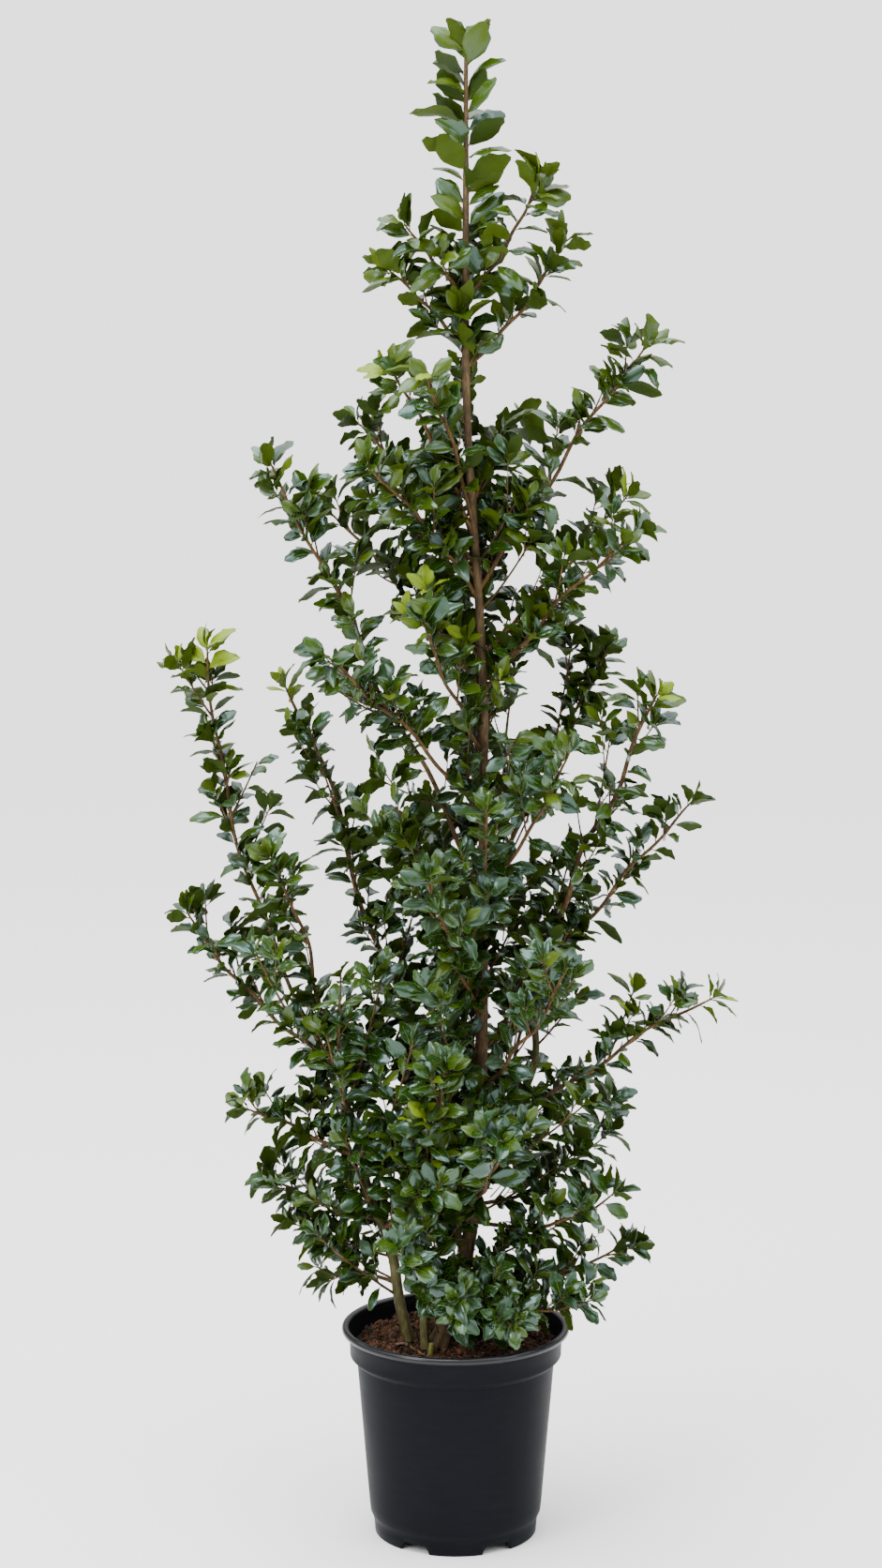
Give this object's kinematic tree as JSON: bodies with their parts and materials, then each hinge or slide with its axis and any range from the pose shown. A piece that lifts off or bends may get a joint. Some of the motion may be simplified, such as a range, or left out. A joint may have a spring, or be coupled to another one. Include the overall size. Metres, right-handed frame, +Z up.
{
  "type": "potted holly tree",
  "caption": "Upright broadleaf evergreen holly with several stems from the soil and small glossy leaves, standing in a plain round black nursery pot.",
  "frame": {"origin": "middle of the pot's flat underside, on the ground", "axes": "+Z up along the pot's axis, -Z out of the underside, +X to the tree's right as its fullest side is seen from the front, +Y to its back"},
  "size_m": [0.7104, 0.4629, 1.8344],
  "materials": {
    "pot": "satin black injection-moulded plastic",
    "soil": "reddish brown bark chips",
    "bark": "olive-brown to tan young bark",
    "foliage": "glossy dark green leaves, lighter green at the tips"
  },
  "bodies": {
    "root": {"bough_left_04": "bark", "bough_left_05": "bark", "bough_left_07": "bark", "bough_left_08": "bark", "bough_right_05": "bark", "bough_right_07": "bark", "bough_right_08": "bark", "bough_right_11": "bark", "foliage_back_01": "foliage", "foliage_back_02": "foliage", "foliage_back_03": "foliage", "foliage_back_04": "foliage", "foliage_back_05": "foliage", "foliage_back_06": "foliage", "foliage_front_01": "foliage", "foliage_front_02": "foliage", "foliage_front_03": "foliage", "foliage_front_04": "foliage", "foliage_front_05": "foliage", "foliage_front_06": "foliage", "foliage_front_07": "foliage", "foliage_front_08": "foliage", "foliage_front_09": "foliage", "foliage_leader": "foliage", "foliage_left_01": "foliage", "foliage_left_02": "foliage", "foliage_left_03": "foliage", "foliage_left_04": "foliage", "foliage_left_05": "foliage", "foliage_left_06": "foliage", "foliage_left_07": "foliage", "foliage_left_08": "foliage", "foliage_left_09": "foliage", "foliage_left_10": "foliage", "foliage_left_11": "foliage", "foliage_left_12": "foliage", "foliage_left_13": "foliage", "foliage_left_14": "foliage", "foliage_left_15": "foliage", "foliage_left_16": "foliage", "foliage_right_01": "foliage", "foliage_right_02": "foliage", "foliage_right_03": "foliage", "foliage_right_04": "foliage", "foliage_right_05": "foliage", "foliage_right_06": "foliage", "foliage_right_07": "foliage", "foliage_right_08": "foliage", "foliage_right_09": "foliage", "foliage_right_10": "foliage", "foliage_right_11": "foliage", "foliage_right_12": "foliage", "foliage_right_13": "foliage", "foliage_right_14": "foliage", "front_stem": "bark", "left_stem": "bark", "pot": "pot", "right_stem": "bark", "soil": "soil", "trunk": "bark"}
  },
  "joints": []
}
